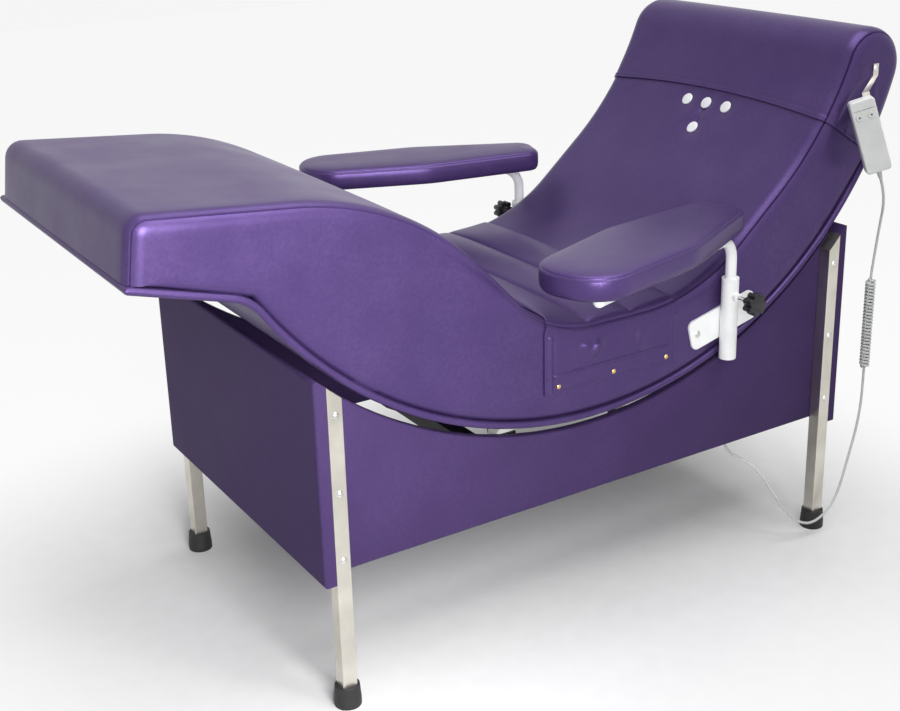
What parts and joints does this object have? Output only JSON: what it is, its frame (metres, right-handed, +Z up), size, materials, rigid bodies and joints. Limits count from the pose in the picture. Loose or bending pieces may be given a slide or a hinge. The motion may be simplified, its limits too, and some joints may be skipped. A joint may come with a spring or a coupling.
{
  "type": "blood donor couch",
  "caption": "S-curved upholstered donor couch that rocks on rollers in a panelled base, with lifting swivel armrests and a corded tilt handset.",
  "frame": {"origin": "on the floor under the middle of the couch's bounding box, cord left out", "axes": "+X towards the head, +Y to the sitter's right, +Z up"},
  "size_m": [1.4718, 0.9774, 0.9553],
  "materials": {
    "vinyl": "pearl purple vinyl, satin",
    "panel": "board wrapped in purple vinyl",
    "foam": "foam block in sewn purple vinyl",
    "steel": "satin stainless tube",
    "white_steel": "white powder coat",
    "grey_steel": "grey zinc-plated steel",
    "rubber": "black moulded rubber",
    "black_plastic": "black moulded plastic",
    "grey_plastic": "light grey moulded plastic",
    "white_plastic": "white moulded plastic",
    "nylon": "white nylon",
    "brass": "brass stud",
    "cord": "grey flexible cord"
  },
  "bodies": {
    "base": {"front_panel": "panel", "rear_panel": "panel", "side_panel_left": "panel", "side_panel_right": "panel", "leg_front_left": "steel", "leg_front_right": "steel", "leg_rear_left": "steel", "leg_rear_right": "steel", "foot_front_left": "rubber", "foot_front_right": "rubber", "foot_rear_left": "rubber", "foot_rear_right": "rubber", "leg_screws": "steel", "roller_forks": "grey_steel", "roller_axles": "steel", "roller_beam_front": "grey_steel", "roller_beam_rear": "grey_steel", "actuator_beam": "grey_steel", "actuator_bracket": "grey_steel", "control_box": "grey_plastic", "cord_gland": "cord", "cord_lower": "cord"},
    "couch": {"couch_board": "panel", "mattress": "foam", "head_cover": "vinyl", "seat_cover": "vinyl", "cover_studs": "brass", "back_buttons": "white_plastic", "rail_left": "grey_steel", "rail_right": "grey_steel", "couch_clevis": "grey_steel", "arm_bracket_left": "white_steel", "arm_bracket_right": "white_steel", "fixing_screws": "steel", "handset_hook": "steel", "handset_case": "grey_plastic", "handset_boot": "cord", "cord_upper": "cord", "cord_curl": "cord"},
    "button_up": {"handset_button_up": "grey_plastic"},
    "button_down": {"handset_button_down": "grey_plastic"},
    "actuator": {"actuator_motor": "black_plastic"},
    "rod": {"actuator_rod": "steel"},
    "roller_front_left": {"roller_front_left": "nylon"},
    "roller_front_right": {"roller_front_right": "nylon"},
    "roller_rear_left": {"roller_rear_left": "nylon"},
    "roller_rear_right": {"roller_rear_right": "nylon"},
    "arm_lift_left": {"arm_plug_left": "black_plastic"},
    "arm_left": {"arm_post_left": "white_steel", "arm_plate_left": "white_steel", "arm_pad_left": "foam"},
    "clamp_left": {"clamp_stud_left": "steel", "clamp_knob_left": "black_plastic"},
    "arm_lift_right": {"arm_plug_right": "black_plastic"},
    "arm_right": {"arm_post_right": "white_steel", "arm_plate_right": "white_steel", "arm_pad_right": "foam"},
    "clamp_right": {"clamp_stud_right": "steel", "clamp_knob_right": "black_plastic"}
  },
  "joints": [
    {"name": "couch_tilt", "type": "hinge", "parent": "base", "child": "couch", "pos_m": [0.043, 0, 1.099], "axis": [0, 1, 0], "range_deg": [-6, 16]},
    {"name": "actuator_swing", "type": "hinge", "parent": "base", "child": "actuator", "pos_m": [0.5295, 0, 0.29], "axis": [0, 1, 0], "range_deg": [-0.6, 1.4]},
    {"name": "rod_slide", "type": "slide", "parent": "actuator", "child": "rod", "axis": [-0.9956, 0, 0.0938], "range_m": [-0.0805, 0.2125]},
    {"name": "roller_front_left_spin", "type": "hinge", "parent": "base", "child": "roller_front_left", "pos_m": [-0.11424, -0.252, 0.35923], "axis": [0, 1, 0], "range_deg": [-600, 230]},
    {"name": "roller_front_right_spin", "type": "hinge", "parent": "base", "child": "roller_front_right", "pos_m": [-0.11424, 0.252, 0.35923], "axis": [0, 1, 0], "range_deg": [-600, 230]},
    {"name": "roller_rear_left_spin", "type": "hinge", "parent": "base", "child": "roller_rear_left", "pos_m": [0.39806, -0.252, 0.43123], "axis": [0, 1, 0], "range_deg": [-600, 230]},
    {"name": "roller_rear_right_spin", "type": "hinge", "parent": "base", "child": "roller_rear_right", "pos_m": [0.39806, 0.252, 0.43123], "axis": [0, 1, 0], "range_deg": [-600, 230]},
    {"name": "button_up_press", "type": "slide", "parent": "couch", "child": "button_up", "axis": [0.5736, 0.8192, 0], "range_m": [0, 0.0008], "stiffness_N_per_m": 700},
    {"name": "button_down_press", "type": "slide", "parent": "couch", "child": "button_down", "axis": [0.5736, 0.8192, 0], "range_m": [0, 0.0008], "stiffness_N_per_m": 700},
    {"name": "arm_lift_left", "type": "slide", "parent": "couch", "child": "arm_lift_left", "axis": [0, 0, 1], "range_m": [-0.015, 0.06]},
    {"name": "arm_swivel_left", "type": "hinge", "parent": "arm_lift_left", "child": "arm_left", "pos_m": [0.3215, -0.318, 0.5], "axis": [0, 0, 1], "range_deg": [-43, 12]},
    {"name": "clamp_turn_left", "type": "hinge", "parent": "couch", "child": "clamp_left", "pos_m": [0.3215, -0.37, 0.532], "axis": [0, -1, 0], "range_deg": [0, 720]},
    {"name": "arm_lift_right", "type": "slide", "parent": "couch", "child": "arm_lift_right", "axis": [0, 0, 1], "range_m": [-0.015, 0.06]},
    {"name": "arm_swivel_right", "type": "hinge", "parent": "arm_lift_right", "child": "arm_right", "pos_m": [0.3215, 0.318, 0.5], "axis": [0, 0, 1], "range_deg": [-12, 43]},
    {"name": "clamp_turn_right", "type": "hinge", "parent": "couch", "child": "clamp_right", "pos_m": [0.3215, 0.37, 0.532], "axis": [0, 1, 0], "range_deg": [0, 720]}
  ],
  "couplings": [
    {"joint": "actuator_swing", "follows": "couch_tilt", "ratio": 0.0772},
    {"joint": "rod_slide", "follows": "couch_tilt", "m_per_rad": 0.7563},
    {"joint": "roller_front_left_spin", "follows": "couch_tilt", "ratio": -36.8},
    {"joint": "roller_front_right_spin", "follows": "couch_tilt", "ratio": -36.8},
    {"joint": "roller_rear_left_spin", "follows": "couch_tilt", "ratio": -36.8},
    {"joint": "roller_rear_right_spin", "follows": "couch_tilt", "ratio": -36.8}
  ]
}
